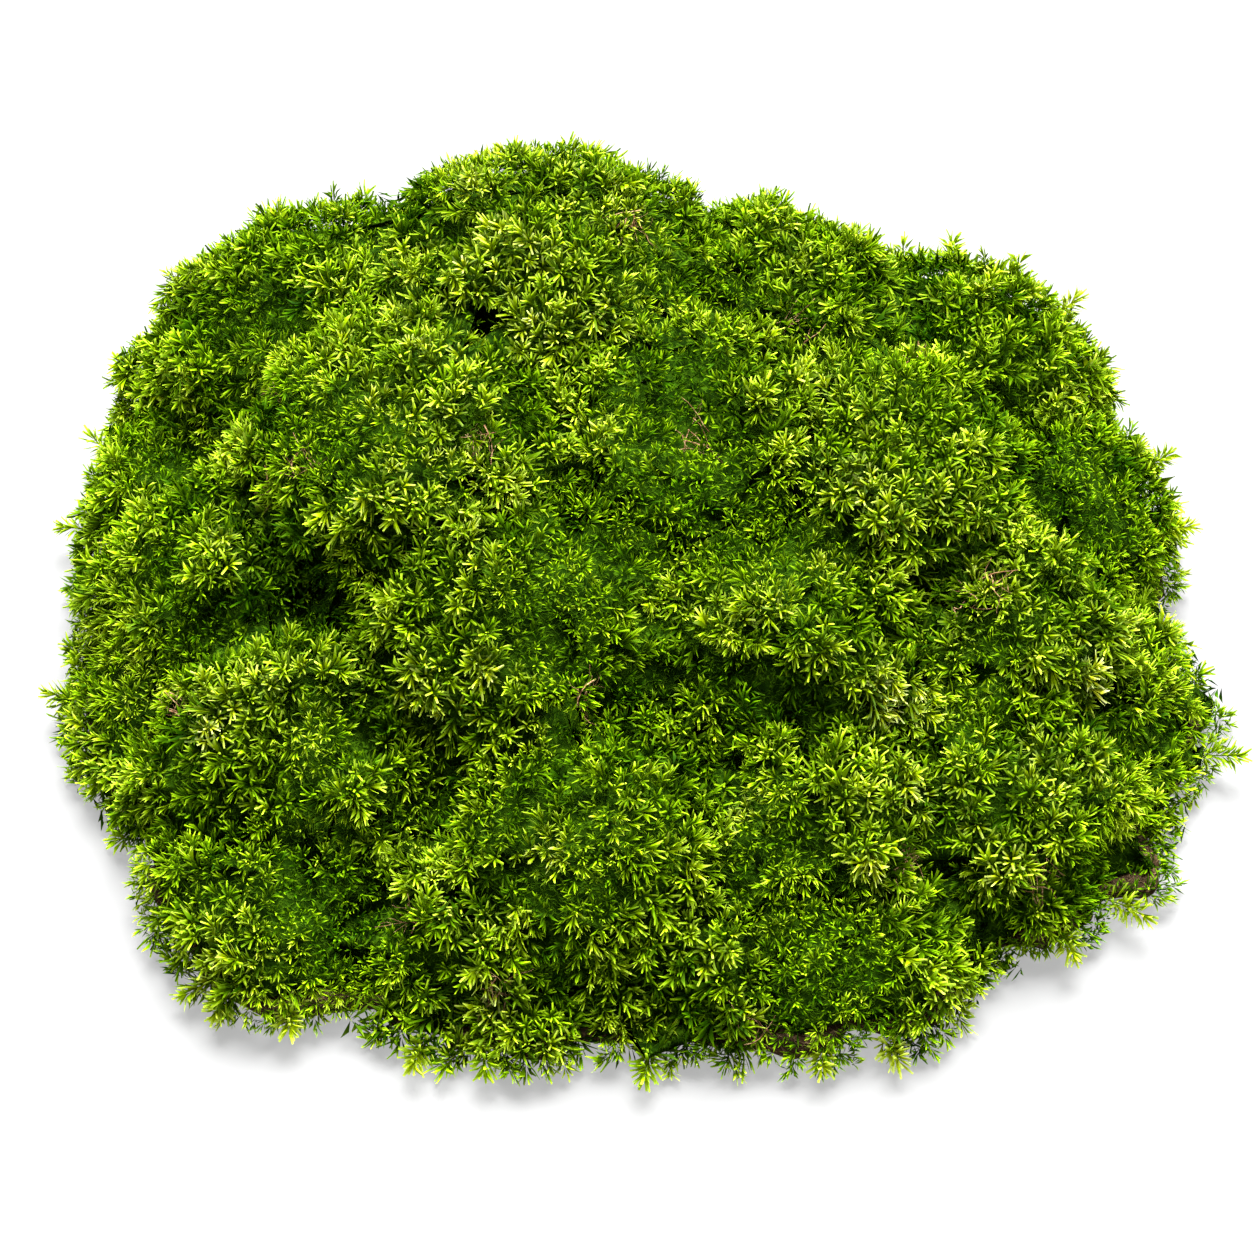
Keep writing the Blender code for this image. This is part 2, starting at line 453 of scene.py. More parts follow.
def litter_material(name, scale, stops, roughness, depth):
    """Matted litter coloured through the given stops, dark to light, with its own relief."""
    made, w = new_material(name)
    litter = w.add("ShaderNodeGroup", {"Crumb Scale": scale}, node_tree=litter_group)
    bump = w.add("ShaderNodeBump", {"Height": litter.outputs["Relief"], "Distance": depth, "Strength": 1.0})
    finish = {"Base Color": ramp(w, litter.outputs["Lightness"], *stops), "Roughness": roughness}
    finish |= {"Normal": bump.outputs["Normal"], "Specular IOR Level": DULL}
    shader = w.add("ShaderNodeBsdfPrincipled", finish)
    w.add("ShaderNodeOutputMaterial", {"Surface": shader.outputs["BSDF"]})
    return made


HUMUS_STOPS = ((0.30, (0.010, 0.006, 0.003)), (0.55, (0.045, 0.027, 0.014)), (0.85, (0.16, 0.105, 0.055)))
humus = litter_material("humus", 160.0, HUMUS_STOPS, 0.95, 0.0012)
mat_mesh.materials.clear()
mat_mesh.materials.append(humus)
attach(mat, "root")
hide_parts("humus_mat")

# ----------------------------------------
# The cushions' thatch: the imported old stems and shaded leaves under the green tips, coloured near black as
# painted shade. Each cushion's is a closed body, which keeps the cushion's own walls and lies a leaf's length
# below the moss's surface.
# It shows only as the dark between the tufts.

THATCH_SINK = 6.0 * MM
RIM_SINK = 4.5 * MM
RIM_HEIGHT = 22 * MM
THICKNESS_KEPT = 0.35  # of a cushion's thin edge, where sinking would press it flat on the mat
MAT_CLEARANCE = 0.2 * MM
LOBE_SHARE = 0.5  # of a lobe's reach, where the thatch follows it
mat_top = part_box("humus_mat")[1].z
THATCH_PAINTED_SHADE_STOPS = ((0.34, (0.001, 0.003, 0.0001)), (0.52, (0.006, 0.020, 0.0004)), (0.80, (0.035, 0.085, 0.002)))
thatch_painted_shade_finish = litter_material("thatch", 240.0, THATCH_PAINTED_SHADE_STOPS, 0.9, 0.0010)


def lies_deep(place):
    """The place itself, or the nearest one to it that lies deep enough below the moss's surface."""
    nearest, normal, _, distance = skin_tree.find_nearest(place)
    inside = (place - nearest).dot(normal) < 0
    depth = distance if inside else -distance
    sink = RIM_SINK + (THATCH_SINK - RIM_SINK) * smoothstep(place.z / RIM_HEIGHT)
    if depth >= sink:
        return place
    deep = place - normal * (sink - depth)
    over_mat = mat_top + MAT_CLEARANCE
    lifted = over_mat + (place.z - over_mat) * THICKNESS_KEPT - deep.z
    if lifted > 0:
        deep += Vector((-normal.x, -normal.y, 1)) * lifted
    return deep


def carried_out(place):
    """Carries a cushion's low edge outwards, under the hanging rim and its lobes."""
    outward = Vector((place.x, place.y, 0)).normalized()
    lobe = lobe_at(place)
    return place + outward * (lowness(place) * (SKIRT + max(lobe, 0.0) * LOBE_SHARE) + min(lobe, 0.0))


for name in cushions:
    shape = joined_up(name)
    bmesh.ops.subdivide_edges(shape, edges=shape.edges, cuts=1, use_grid_fill=True)
    for v in shape.verts:
        v.co = lies_deep(carried_out(v.co))
    thatch_mesh = as_mesh(shape, name + "_thatch")
    thatch_mesh.shade_smooth()
    thatch_mesh.materials.append(thatch_painted_shade_finish)
    thatch = put_in_scene(name + "_thatch", thatch_mesh)
    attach(thatch, "root")
    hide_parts(name)

# ----------------------------------------
# The leaves. A moss leaf is one cell thick, narrow and pointed, and bends at its widest place. They stand
# round the stem in whorls: an upright bud of young leaves at the tip, wider stars of older leaves below.
# Each is a closed sliver of four or six faces, and carries how far across and along it a point lies.

BLUNT_BEND = 0.52  # the share of its length at which a leaf bends
BLUNT_END = 0.78  # how wide a blunt leaf's end is beside its middle
LANCE_BEND = 0.58


def add_leaf(shape, root, outward, rise, curl, length, width, blunt, tone=0.0):
    """A leaf from root, leaving the stem's axis (+Z) by rise, in radians, and bending out by curl."""
    side = Vector((-outward.y, outward.x, 0))
    first = outward * math.sin(rise) + Vector((0, 0, math.cos(rise)))
    then = outward * math.sin(rise + curl) + Vector((0, 0, math.cos(rise + curl)))
    bend_at = BLUNT_BEND if blunt else LANCE_BEND
    bend = root + first * length * bend_at
    tip = bend + then * length * (1 - bend_at)
    half = side * width / 2
    across, along = shape.verts.layers.float["across"], shape.verts.layers.float["along"]
    spots = [(root, 0, 0), (bend - half, -1, bend_at), (bend + half, 1, bend_at)]
    spots += [(tip - half * BLUNT_END, -1, 1), (tip + half * BLUNT_END, 1, 1)] if blunt else [(tip, 0, 1)]
    made = []
    for place, sideways, lengthways in spots:
        v = shape.verts.new(place)
        v[across] = sideways + tone
        v[along] = lengthways
        made.append(v)
    foot, left, right = made[:3]
    faces = [(foot, right, left)]
    if blunt:
        end_left, end_right = made[3:]
        faces += [(left, right, end_left), (right, end_right, end_left)]
        faces += [(end_right, left, end_left), (foot, left, end_right), (foot, end_right, right)]
    else:
        point = made[3]
        faces += [(left, right, point), (foot, left, point), (foot, point, right)]
    if curl > 0:
        faces = [face[::-1] for face in faces]
    for face in faces:
        shape.faces.new(face)


def new_leafy_shape():
    """An empty bmesh that can carry where on its leaf a point lies."""
    shape = bmesh.new()
    shape.verts.layers.float.new("across")
    shape.verts.layers.float.new("along")
    return shape


# One whorl for each level of a shoot, from its tip down: number of leaves, rise from the stem in degrees,
# outward bend in degrees, leaf length and width in mm, and whether the leaf is blunt or a lance.
COARSE_LEVELS = ((6, 16, 28, 4.0, 0.45, True), (6, 40, 28, 4.7, 0.48, True), (4, 66, 16, 4.4, 0.66, False))
FINE_LEVELS = ((5, 16, 18, 2.7, 0.42, False), (5, 42, 16, 3.0, 0.47, False))
SPRAY_LEVELS = ((7, 18, 24, 3.5, 0.45, True), (6, 44, 22, 3.9, 0.50, False))
VARIANTS = 6
# How whorls and their leaves differ: angles in degrees, lengths in mm.
TURN_SHARE = 0.4
ROOT_OUT = 0.18
ROOT_SPREAD = 0.6
RISE_SPREAD = 20
BEND_RANGE = (-45, 30)
LENGTH_RANGE = (0.72, 1.18)
WIDTH_RANGE = (0.85, 1.15)
TONE_SPREAD = 4


def make_whorls(kind, levels):
    """A collection of whorls, VARIANTS for each level, named so that they sort by level."""
    made = bpy.data.collections.new(kind)
    chance = random.Random(kind)
    for level, (count, rise, bend, length, width, blunt) in enumerate(levels):
        for variant in range(VARIANTS):
            shape = new_leafy_shape()
            for i in range(count):
                angle = math.tau * (i + chance.uniform(-TURN_SHARE, TURN_SHARE)) / count
                outward = Vector((math.cos(angle), math.sin(angle), 0))
                up = chance.uniform(-ROOT_SPREAD, ROOT_SPREAD) * MM
                add_leaf(
                    shape,
                    outward * ROOT_OUT * MM + Vector((0, 0, up)),
                    outward,
                    math.radians(rise + chance.uniform(-RISE_SPREAD, RISE_SPREAD)),
                    math.radians(bend + chance.uniform(*BEND_RANGE)),
                    length * MM * chance.uniform(*LENGTH_RANGE),
                    width * MM * chance.uniform(*WIDTH_RANGE),
                    blunt,
                    chance.uniform(-TONE_SPREAD, TONE_SPREAD),
                )
            mesh = as_mesh(shape, f"{kind}_{level}{variant}")
            made.objects.link(bpy.data.objects.new(mesh.name, mesh))
    return made


coarse_whorls = make_whorls("coarse_whorl", COARSE_LEVELS)
fine_whorls = make_whorls("fine_whorl", FINE_LEVELS)
spray_whorls = make_whorls("spray_whorl", SPRAY_LEVELS)

# The leaves' finish. Their map holds the shade from deep green to straw along U, and on V the band of painted
# shade, which the whorl's level and its place between tufts set, with the place along the leaf, so that every
# leaf of one shade and band shares one strip of it.
BANDS = 4
SHADES = (0.00, 0.30, 0.55, 0.80, 1.00)  # the shades that these colours stand at
# Each leaf is near black at its foot, partly painted shade, and pale at its tip, partly a painted highlight
# on the tip's own paler colour.
LEAF_BASE = (
    (0.002, 0.014, 0.0001),
    (0.006, 0.030, 0.0002),
    (0.013, 0.042, 0.0003),
    (0.030, 0.048, 0.0020),
    (0.045, 0.035, 0.0080),
)
LEAF_BLADE = (
    (0.055, 0.200, 0.0004),
    (0.210, 0.390, 0.0008),
    (0.370, 0.500, 0.0020),
    (0.500, 0.540, 0.0160),
    (0.340, 0.250, 0.0600),
)
LEAF_TIP_AND_PAINTED_HIGHLIGHT = (
    (0.330, 0.640, 0.0040),
    (0.620, 0.860, 0.0200),
    (0.800, 0.930, 0.1400),
    (0.880, 0.920, 0.5000),
    (0.700, 0.580, 0.2600),
)
BLADE_AT = 0.62  # the places along a leaf where its base has turned into its blade
TIP_FROM = 0.58  # and where its blade turns into its tip
TIP_TO = 0.92
# What is left of a leaf's colour on each darker band of painted shade, standing in for the shade under the
# whorls above and between tufts; it also turns a deeper green, as older leaves do.
PAINTED_SHADE_BAND_COLOURS = (
    (0.000, (1.00, 1.00, 1.00)),
    (0.333, (0.56, 0.61, 0.46)),
    (0.666, (0.24, 0.32, 0.18)),
    (1.000, (0.10, 0.17, 0.07)),
)


def make_leaf_colour_group():
    """The colour of a leaf from its map: shade and place along it, with painted shade making it darker on the
    lower levels and between tufts.
    """
    group = bpy.data.node_groups.new("leaf_colour", "ShaderNodeTree")
    new_socket(group, "Colour", "OUTPUT", "Color")
    new_socket(group, "Along", "OUTPUT", "Float")
    w = Wiring(group)
    spot = w.add("ShaderNodeSeparateXYZ", {"Vector": w.add("ShaderNodeUVMap", uv_map="OFBake").outputs["UV"]})
    shade = spot.outputs["X"]
    scaled = w.maths("MULTIPLY", spot.outputs["Y"], float(BANDS))
    along = w.maths("FRACT", scaled)

    def turned(before, after, low, high):
        """One colour that turns into another between two places along the leaf."""
        reach = {"Value": along, "From Min": low, "From Max": high}
        share = w.add("ShaderNodeMapRange", reach).outputs["Result"]
        inputs = {"Factor": share, 6: before, 7: after}
        return w.add("ShaderNodeMix", inputs, data_type="RGBA").outputs[2]

    base, blade, tip = (ramp(w, shade, *zip(SHADES, stops)) for stops in (LEAF_BASE, LEAF_BLADE, LEAF_TIP_AND_PAINTED_HIGHLIGHT))
    whole = turned(turned(base, blade, 0.0, BLADE_AT), tip, TIP_FROM, TIP_TO)
    painted_shade_left = ramp(w, w.maths("DIVIDE", w.maths("FLOOR", scaled), BANDS - 1.0), *PAINTED_SHADE_BAND_COLOURS)
    w.add("NodeGroupOutput", {"Colour": w.vectors("MULTIPLY", whole, painted_shade_left), "Along": along})
    return group


leaf_colour_group = make_leaf_colour_group()
DULL_BASE = 0.62  # a leaf's roughness, and that of its tip
SATIN_TIP = 0.42
LIT_THROUGH = 0.30  # the share of light that a leaf lets through


def make_leaf_material():
    """Thin green leaves: satin, and lit through from behind."""
    made, w = new_material("moss_leaf")
    leaf = w.add("ShaderNodeGroup", node_tree=leaf_colour_group)
    colour = leaf.outputs["Colour"]
    smoother = {"Value": leaf.outputs["Along"], "To Min": DULL_BASE, "To Max": SATIN_TIP}
    sheen = w.add("ShaderNodeMapRange", smoother).outputs["Result"]
    finish = {"Base Color": colour, "Roughness": sheen, "Specular IOR Level": DULL}
    shader = w.add("ShaderNodeBsdfPrincipled", finish).outputs["BSDF"]
    through = w.add("ShaderNodeBsdfTranslucent", {"Color": colour}).outputs["BSDF"]
    mixed = w.add("ShaderNodeMixShader", {"Fac": LIT_THROUGH, 1: shader, 2: through})
    w.add("ShaderNodeOutputMaterial", {"Surface": mixed.outputs["Shader"]})
    return made


leaf_finish = make_leaf_material()

# ----------------------------------------
# The cushions' shoots. Moss shoots stand side by side, each leaning a little its own way, and end in a
# star of leaves. Where the moss is vigorous they are coarse and yellow-green, elsewhere fine and deep
# green. They are planted on the moss's surface by geometry nodes, a few whorls to a shoot.

# For each kind of shoot: its whorls, whether it grows in the coarse moss (1) or outside it (0), the least
# space between shoots and the step between levels, in metres, the number of levels, how far the tip stands
# over the surface, in metres, how far it leans, and how many bands of painted shade each level is darker than
# the last.
INPUTS = ("Whorls", "In Coarse Moss", "Spacing", "Step", "Levels", "Lift", "Lean", "Darkening")
KINDS = {
    "Coarse": (coarse_whorls, 1.0, 0.0035, 0.00135, 3, -0.0022, 0.42, 1.3),
    "Fine": (fine_whorls, 0.0, 0.00223, 0.0010, 2, -0.0016, 0.36, 1.0),
    "Spray": (spray_whorls, 1.0, 0.0080, 0.0013, 6, 0.0008, 0.75, 0.55),
}
FAN = 0.75  # how strongly a tuft's shoots spread from its middle
DROOP = 1.6  # how far those on a steep side hang
BUNCH = 0.75  # how strongly neighbours lean the same way
OPEN_RIM = 22 * MM  # below this height light comes in from the side
SHADE_RANGE = (0.03, 0.97)
# The most bands of painted shade that a shoot gets between tufts and in hollows.
DARKEST = 1.8  # bands


def coarseness(place, ridge, deep):
    """Over 0.5 where coarse shoots grow."""
    patches = noise.noise(place / (26 * MM) + Vector((3, 1, 7)))
    ragged = noise.noise(place / (7 * MM))
    return 0.54 + 0.8 * patches + 0.35 * ragged + 0.45 * ridge - 0.6 * deep


def shade_of(place, coarse, ridge, deep, worn, yellowed):
    """Where the moss lies between deep green (0) and straw (1), with the tufts' tops painted lighter and
    their low parts painted darker.
    """
    patches = noise.fractal(place / (24 * MM) + Vector((9, 4, 2)), 1.0, 2.0, 3)
    height = TUFT_EDGE - in_tuft(place).length_squared
    # The height in its tuft paints light on the tops and shade low down, moving the shade towards
    # yellow-green or deep green.
    shade = 0.37 + 0.11 * patches + 0.08 * (coarse - 0.5) + 0.40 * height
    shade += 0.07 * ridge - 0.13 * deep + 0.24 * worn + 0.24 * yellowed
    shade += 0.06 * smoothstep((place.z - CREST_FROM) / (18 * MM))
    return min(max(shade, SHADE_RANGE[0]), SHADE_RANGE[1])


def growth_at(place, normal, deep):
    """The way that shoots grow at a place: out of the surface, towards the light, and apart in tufts."""
    steep = 1 - max(normal.z, 0.0)
    upwards = max(normal.z + 0.1, 0.0) * (0.35 + 0.5 * deep) - DROOP * steep * (1 - deep)
    fan = (in_tuft(place) + in_clump(place) * 0.6) * FAN * (1 - 0.6 * deep)
    together = noise.noise_vector(place / (9 * MM)) * BUNCH
    way = normal + Vector((0, 0, upwards)) + fan + together
    low = smoothstep((9 * MM - place.z) / (9 * MM))
    way.z = max(way.z, -0.3 + 0.2 * low)
    return way.normalized()


def painted_shade_at(place, worn):
    """How many bands of painted shade darken shoots that stand low between tufts or in a hollow, less towards
    the foot of the open rim.
    """
    low = in_tuft(place).length_squared * 3.4 + in_clump(place).length_squared * 1.6
    return min(max(low - 0.65 + 0.7 * worn, 0.0), DARKEST) * smoothstep(place.z / OPEN_RIM)


def cover_at(place, worn, shelter):
    """How closely shoots stand: thin in the worn hollows and here and there between tufts."""
    gaps = noise.noise(place / (6 * MM) + Vector((5, 5, 5)))
    return min(max(1.4 + 0.6 * gaps - 0.5 * worn - 0.25 * shelter, 0.0), 1.0)


class Growing(Wiring):
    """The wiring of a tree of geometry nodes."""

    def named(self, name, kind="FLOAT"):
        node = self.add("GeometryNodeInputNamedAttribute", {"Name": name}, data_type=kind)
        return node.outputs["Attribute"]

    def shaped(self, kind, geometry, inputs, **settings):
        return self.add(kind, {"Geometry": geometry, **inputs}, **settings).outputs["Geometry"]

    def stored(self, geometry, name, value, kind="FLOAT", domain="POINT"):
        named = {"Name": name, "Value": value}
        return self.shaped("GeometryNodeStoreNamedAttribute", geometry, named, data_type=kind, domain=domain)

    def moved(self, geometry, offset):
        return self.shaped("GeometryNodeSetPosition", geometry, {"Offset": offset})

    def realized(self, geometry):
        return self.shaped("GeometryNodeRealizeInstances", geometry, {})

    def chance(self, low, high, seed, salt):
        """A random number, or a random vector where low and high are vectors."""
        mixed = self.maths("ADD", seed, float(salt))
        first, out, kind = (2, 1, "FLOAT") if isinstance(low, float) else (0, 0, "FLOAT_VECTOR")
        limits = {"Seed": mixed, first: low, first + 1: high}
        return self.add("FunctionNodeRandomValue", limits, data_type=kind).outputs[out]


def new_tree(name, inputs):
    """A tree of geometry nodes that takes and gives geometry, its wiring and its input sockets."""
    tree = bpy.data.node_groups.new(name, "GeometryNodeTree")
    new_socket(tree, "Geometry", "INPUT", "Geometry")
    sockets = {}
    for title, kind in inputs.items():
        sockets[title] = new_socket(tree, title, "INPUT", kind).identifier
    new_socket(tree, "Geometry", "OUTPUT", "Geometry")
    w = Growing(tree)
    return tree, w, w.add("NodeGroupInput").outputs, sockets


MOST_SHOOTS = 9.0e5  # a square metre, before they are thinned to their spacing
SHADE_SPREAD = 0.13  # how unlike shoots are that stand side by side
SIZE_RANGE = (0.78, 1.20)
LIFT_RANGE = (-0.0016, 0.0014)


def make_kind_tree():
    """Plants one kind of shoot: scattered points, one below another for each level, and a whorl on each."""
    inputs = dict.fromkeys((*INPUTS, "Whorl Levels", "Seed"), "Float")
    inputs |= {"Whorls": "Collection", "Levels": "Int"}
    tree, w, inside, _ = new_tree("plant_one_kind", inputs)
    seed = inside["Seed"]
    is_coarse = w.maths("GREATER_THAN", w.named("coarse"), 0.5)
    unlike = w.maths("ABSOLUTE", w.maths("SUBTRACT", inside["In Coarse Moss"], is_coarse))
    scatter = w.add(
        "GeometryNodeDistributePointsOnFaces",
        {
            "Mesh": inside["Geometry"],
            "Distance Min": inside["Spacing"],
            "Density Max": MOST_SHOOTS,
            "Density Factor": w.maths("MULTIPLY", w.maths("SUBTRACT", 1.0, unlike), w.named("cover")),
            "Seed": seed,
        },
        distribute_method="POISSON",
    )
    jitter = w.vectors("SCALE", w.chance((-1, -1, -1), (1, 1, 1), seed, 1), Scale=inside["Lean"])
    leaning = w.vectors("NORMALIZE", w.vectors("ADD", w.named("growth", "FLOAT_VECTOR"), jitter))
    points = w.stored(scatter.outputs["Points"], "axis", leaning, "FLOAT_VECTOR")
    unlike_next = w.chance(-SHADE_SPREAD, SHADE_SPREAD, seed, 2)
    points = w.stored(points, "shade", w.maths("ADD", w.named("shade"), unlike_next))
    points = w.stored(points, "size", w.chance(*SIZE_RANGE, seed, 4))
    raised = w.maths("ADD", inside["Lift"], w.chance(*LIFT_RANGE, seed, 3))
    axis, size, level = w.named("axis", "FLOAT_VECTOR"), w.named("size"), w.named("level")
    points = w.moved(points, w.vectors("SCALE", axis, Scale=raised))
    stack = {"Geometry": points, "Amount": inside["Levels"]}
    stacked = w.add("GeometryNodeDuplicateElements", stack, domain="POINT")
    points = w.stored(stacked.outputs["Geometry"], "level", stacked.outputs["Duplicate Index"])
    down = w.maths("MULTIPLY", w.maths("MULTIPLY", level, inside["Step"]), size)
    down = w.maths("MULTIPLY", down, -1.0)
    points = w.moved(points, w.vectors("SCALE", axis, Scale=down))
    # Lower levels are painted darker, as shade under the whorls above and partly the older leaves' deeper
    # green. A shoot of many levels darkens more slowly on its way down, and one between tufts starts darker,
    # as painted shade.
    darker = w.maths("MULTIPLY", level, inside["Darkening"])
    darker = w.maths("ADD", w.maths("ADD", darker, w.named("shelter")), w.chance(0.0, 0.99, seed, 7))
    points = w.stored(points, "band", w.maths("MINIMUM", w.maths("FLOOR", darker), BANDS - 1.0))
    apart = {"Collection": inside["Whorls"], "Separate Children": True}
    picked = w.add("GeometryNodeCollectionInfo", apart)
    whorl_level = w.maths("MINIMUM", level, w.maths("SUBTRACT", inside["Whorl Levels"], 1.0))
    pick = w.maths("MULTIPLY_ADD", whorl_level, float(VARIANTS), w.chance(0.0, VARIANTS - 0.01, seed, 5))
    upright = w.add("FunctionNodeAlignRotationToVector", {"Vector": axis}, axis="Z")
    spin = w.add("ShaderNodeCombineXYZ", {"Z": w.chance(0.0, math.tau, seed, 6)})
    rotations = {"Rotation": upright.outputs["Rotation"], "Rotate By": spin.outputs["Vector"]}
    turned = w.add("FunctionNodeRotateRotation", rotations, rotation_space="LOCAL")
    planted = w.add(
        "GeometryNodeInstanceOnPoints",
        {
            "Points": points,
            "Instance": picked.outputs["Instances"],
            "Pick Instance": True,
            "Instance Index": w.maths("FLOOR", pick),
            "Rotation": turned.outputs["Rotation"],
            "Scale": size,
        },
    )
    w.add("NodeGroupOutput", {"Geometry": w.realized(planted.outputs["Instances"])})
    return tree


STRIP_USED = 0.90  # of a strip's width on the leaf map, between two edges
STRIP_EDGE = 0.05


def make_shoot_tree():
    """Plants every kind of shoot on a patch, maps the leaves and gives them their finish."""
    inputs = {"Seed": "Float", "Material": "Material"}
    inputs |= {f"{kind} {title}": "Float" for kind in KINDS for title in ("Spacing", "Lift")}
    tree, w, inside, sockets = new_tree("grow_shoots", inputs)
    one_kind = make_kind_tree()
    both = w.add("GeometryNodeJoinGeometry")
    for salt, (kind, values) in enumerate(KINDS.items()):
        own = dict(zip(INPUTS, values))
        own |= {"Spacing": inside[kind + " Spacing"], "Lift": inside[kind + " Lift"]}
        own["Whorl Levels"] = len(values[0].objects) / VARIANTS
        own["Geometry"] = inside["Geometry"]
        own["Seed"] = w.maths("ADD", inside["Seed"], 20.0 * salt)
        group = w.add("GeometryNodeGroup", own, node_tree=one_kind)
        tree.links.new(group.outputs["Geometry"], both.inputs["Geometry"])
    # The leaf map: shade with a little width across the leaf, and level with place along it.
    shade = w.add("ShaderNodeClamp", {"Value": w.named("shade"), "Min": 0.06, "Max": 0.94}).outputs["Result"]
    across = w.maths("MULTIPLY_ADD", w.named("across"), 0.011, shade)
    along = w.maths("MULTIPLY_ADD", w.named("along"), STRIP_USED, STRIP_EDGE)
    strip = w.maths("DIVIDE", w.maths("ADD", w.named("band"), along), float(BANDS))
    spot = w.add("ShaderNodeCombineXYZ", {"X": across, "Y": strip}).outputs["Vector"]
    mapped = w.stored(w.realized(both.outputs["Geometry"]), "OFBake", spot, "FLOAT2", "CORNER")
    finished = w.shaped("GeometryNodeSetMaterial", mapped, {"Material": inside["Material"]})
    w.add("NodeGroupOutput", {"Geometry": finished})
    return tree, sockets


shoot_tree, shoot_inputs = make_shoot_tree()

skin.verts.index_update()
skin_places = np.array([v.co[:] for v in skin.verts])
ridges = nearness(skin_places, ridge_marks, RIDGE_RADIUS)
deeps = nearness(skin_places, deep_marks, DEEP_RADIUS)
worns = nearness(skin_places, hollow_marks, HOLLOW_RADIUS)
yellows = nearness(skin_places, yellowed_marks, YELLOWED_RADIUS)
skin_marks, owner_of_place = [], []
for v, ridge, deep, worn, yellowed in zip(skin.verts, ridges, deeps, worns, yellows):
    coarse = coarseness(v.co, ridge, deep)
    shade = shade_of(v.co, coarse, ridge, deep, worn, yellowed)
    shelter = painted_shade_at(v.co, worn)
    marks = (coarse, shade, cover_at(v.co, worn, shelter), shelter)
    skin_marks.append((*marks, *growth_at(v.co, v.normal, deep)))
    owner_of_place.append(nearest_cushions(v.co)[0])
skin_marks = np.array(skin_marks)
# Each bit of the surface belongs to the cushion whose solid lies nearest. Nothing grows underneath.
UNDERSIDE = 3.0 * MM
FACES_DOWN = -0.6
shares = {name: [] for name in cushions}
for face in skin.faces:
    if face.normal.z > FACES_DOWN or face.calc_center_median().z > UNDERSIDE:
        owners = [owner_of_place[v.index] for v in face.verts]
        shares[max(owners, key=owners.count)].append([v.index for v in face.verts])

FLOOR_ROOM = 3.0 * MM  # leaves this near the floor bend so as to lie on it


def lay_on_floor(mesh):
    """Bends up whatever reaches near the floor or below it."""
    co = np.empty(len(mesh.vertices) * 3)
    mesh.vertices.foreach_get("co", co)
    height = co[2::3]
    near = height < FLOOR_ROOM
    height[near] = FLOOR_ROOM * np.exp((height[near] - FLOOR_ROOM) / FLOOR_ROOM)
    mesh.vertices.foreach_set("co", co)


SPENT_MARKS = (
    "across", "along", "axis", "shade", "size", "level", "band", "coarse", "cover", "shelter", "growth",
)


def strip_marks(mesh):
    """Drops the marks that only the growing needed."""
    for name in [a.name for a in mesh.attributes if a.name in SPENT_MARKS]:
        mesh.attributes.remove(mesh.attributes[name])


def plant(name, faces, seed):
    """Grows the shoots of one cushion on its share of the surface and gives them as a plain mesh."""
    used = sorted({i for face in faces for i in face})
    place_of = {old: new for new, old in enumerate(used)}
    patch = bpy.data.meshes.new(name + "_patch")
    patch.from_pydata(skin_places[used].tolist(), [], [[place_of[i] for i in face] for face in faces])
    marks = skin_marks[used]
    for column, title in enumerate(("coarse", "shade", "cover", "shelter")):
        patch.attributes.new(title, "FLOAT", "POINT").data.foreach_set("value", marks[:, column].copy())
    patch.attributes.new("growth", "FLOAT_VECTOR", "POINT").data.foreach_set("vector", marks[:, 4:].ravel())
    holder = put_in_scene(name + "_patch", patch)
    grow = holder.modifiers.new("grow", "NODES")
    grow.node_group = shoot_tree
    for kind, values in KINDS.items():
        for title in ("Spacing", "Lift"):
            grow[shoot_inputs[f"{kind} {title}"]] = values[INPUTS.index(title)]
    grow[shoot_inputs["Seed"]] = float(seed)
    grow[shoot_inputs["Material"]] = leaf_finish
    grown = made_plain(holder)
    grown.name = name + "_shoots"
    strip_marks(grown)
    lay_on_floor(grown)
    return grown


for seed, name in enumerate(cushions):
    grown = plant(name, shares[name], 100 * (seed + 1))
    shoots = put_in_scene(name + "_shoots", grown)
    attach(shoots, "root")
    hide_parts(name)

# ----------------------------------------
# The stray shoots: single plants that lean out of the rim. Each is a thin curved stem with leaves all
# the way along, and stands where its solid does, with its foot in the cushion.

STRAY_FOOT = 8 * MM  # how deep it is rooted
STRAY_REACH = 0.60  # of its solid's length
STRAY_TURN = 2.4  # radians from one leaf to the next
STRAY_LEAF_STEP = 0.20 * MM
STEM_RADIUS = 0.22 * MM
STEM_TAPER = 0.6
STEM_SIDES = 5
STEM_PARTS = 7
STEM_END = 0.96  # of the whole way, so that the last leaves hide it
STEM_ALONG = 0.15  # the place along a leaf whose colour the stem has
CLOSE = 0.01
HEART = Vector((0, 0, 0.02))  # which the shoots point away from


def stray_shoot_line(node, chance):
    """Foot, bend and tip of a stray shoot: along its solid, and rooted a little way into the moss."""
    points = np.array([v.co[:] for v in frame["nodes"][node].data.vertices])
    _, _, ways = np.linalg.svd(points - points.mean(axis=0))
    middle, along = Vector(points.mean(axis=0)), Vector(ways[0])
    if along.dot(middle - HEART) < 0:
        along = -along
    reaches = [(Vector(p) - middle).dot(along) for p in points]
    foot = middle + along * (min(reaches) - STRAY_FOOT)
    tip = foot + (middle + along * max(reaches) - foot) * STRAY_REACH
    sag = Vector((chance.uniform(-1, 1), chance.uniform(-1, 1), 1.0)) * MM
    return foot, (foot + tip) / 2 + sag, tip


